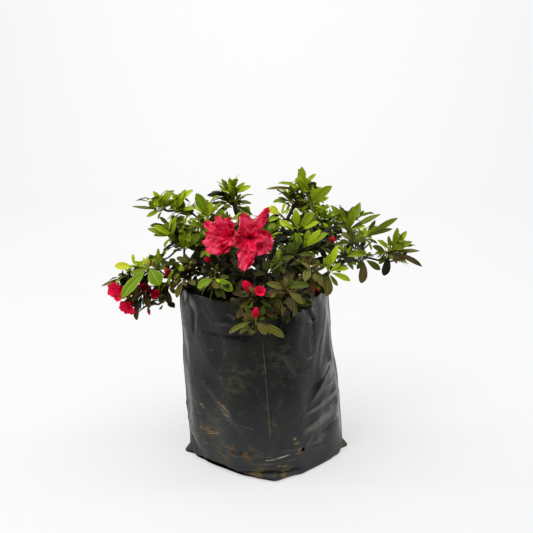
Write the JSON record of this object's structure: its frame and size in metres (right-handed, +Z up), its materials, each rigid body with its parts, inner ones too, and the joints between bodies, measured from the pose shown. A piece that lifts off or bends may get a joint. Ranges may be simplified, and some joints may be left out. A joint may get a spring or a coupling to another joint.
{
  "type": "potted azalea shrub",
  "caption": "Low, open azalea shrub with whorled evergreen leaves and red-pink ruffled blooms, standing in a black polythene nursery bag filled with growing medium.",
  "frame": {"origin": "on the ground under the middle of the bag's flat underside", "axes": "+Z up; -Y the side with the two open blooms; X along the crown's longest spread"},
  "size_m": [0.339, 0.246, 0.309],
  "materials": {
    "polythene": "semi-gloss black blown film, creased and dusty with dried soil",
    "soil": "moist crumbly dark brown loam and bark",
    "bark": "thin grey-brown bark with fine ridges",
    "leaves": "leathery evergreen leaves, lime when young and bronze-olive when old"
  },
  "bodies": {
    "root": {"nursery_bag": "polythene", "growing_medium": "soil", "main_stem": "bark", "bough_back": "bark", "bough_back_left": "bark", "bough_back_right": "bark", "bough_bloom": "bark", "bough_centre_left": "bark", "bough_crown_left": "bark", "bough_crown_right": "bark", "bough_front": "bark", "bough_front_left": "bark", "bough_front_right": "bark", "bough_left": "bark", "bough_right": "bark", "bough_right_droop": "bark", "bough_upper_left": "bark", "bough_upper_right": "bark", "foliage_back_left": "leaves", "foliage_back_left_tip": "leaves", "foliage_back_low_left": "leaves", "foliage_back_low_right": "leaves", "foliage_back_middle": "leaves", "foliage_back_right": "leaves", "foliage_back_right_tip": "leaves", "foliage_blooms": "leaves", "foliage_centre_left": "leaves", "foliage_centre_right": "leaves", "foliage_front_left": "leaves", "foliage_front_low": "leaves", "foliage_front_right": "leaves", "foliage_heart": "leaves", "foliage_inner_right": "leaves", "foliage_left_base": "leaves", "foliage_left_droop": "leaves", "foliage_left_tip": "leaves", "foliage_left_tuft": "leaves", "foliage_lower_right": "leaves", "foliage_mid_left": "leaves", "foliage_right_crest": "leaves", "foliage_right_droop": "leaves", "foliage_right_tip": "leaves", "foliage_top_left": "leaves", "foliage_top_right": "leaves", "foliage_upper_left": "leaves", "foliage_upper_left_inner": "leaves", "foliage_upper_right": "leaves"}
  },
  "joints": []
}
